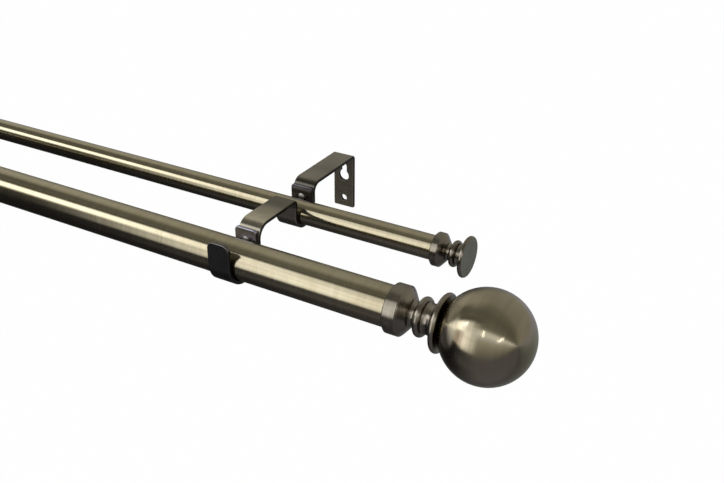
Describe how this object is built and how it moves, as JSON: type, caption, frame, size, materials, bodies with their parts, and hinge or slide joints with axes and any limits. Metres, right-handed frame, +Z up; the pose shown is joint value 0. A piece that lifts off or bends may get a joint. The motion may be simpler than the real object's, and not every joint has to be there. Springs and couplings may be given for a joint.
{
  "type": "double curtain pole",
  "caption": "Double curtain pole: a thick front pole with ball finials and a thin back pole with disc finials, resting in open hooks of riveted strip-steel wall brackets.",
  "frame": {"origin": "on the wall, midway between the lower screw holes of the two brackets", "axes": "+X along the poles to the right as seen from the room, +Y into the wall, +Z up"},
  "size_m": [1.154, 0.1618, 0.0538],
  "materials": {
    "pole_plating": "steel tube, antique brass plated, brushed round the tube and lacquered",
    "finial_plating": "turned steel, antique brass plated, brushed and lacquered",
    "bracket_plating": "bent steel strip, antique brass plated, darker and glossy inside the bends",
    "rivet_steel": "plated steel rivet with a smooth domed head",
    "zinc_steel": "zinc plated steel",
    "plug_plastic": "black moulded plastic"
  },
  "bodies": {
    "root": {"front_pole": "pole_plating", "back_pole": "pole_plating", "left_wall_arm": "bracket_plating", "left_link_arm": "bracket_plating", "left_front_hook": "bracket_plating", "left_back_rivet": "rivet_steel", "left_front_rivet": "rivet_steel", "left_front_finial_stem": "finial_plating", "left_front_finial_ball": "finial_plating", "left_back_disc_finial": "finial_plating", "left_front_finial_stud": "zinc_steel", "left_front_ball_nut": "zinc_steel", "left_back_finial_stud": "zinc_steel", "left_front_end_plug": "plug_plastic", "left_back_end_plug": "plug_plastic", "right_wall_arm": "bracket_plating", "right_link_arm": "bracket_plating", "right_front_hook": "bracket_plating", "right_back_rivet": "rivet_steel", "right_front_rivet": "rivet_steel", "right_front_finial_stem": "finial_plating", "right_front_finial_ball": "finial_plating", "right_back_disc_finial": "finial_plating", "right_front_finial_stud": "zinc_steel", "right_front_ball_nut": "zinc_steel", "right_back_finial_stud": "zinc_steel", "right_front_end_plug": "plug_plastic", "right_back_end_plug": "plug_plastic"}
  },
  "joints": []
}
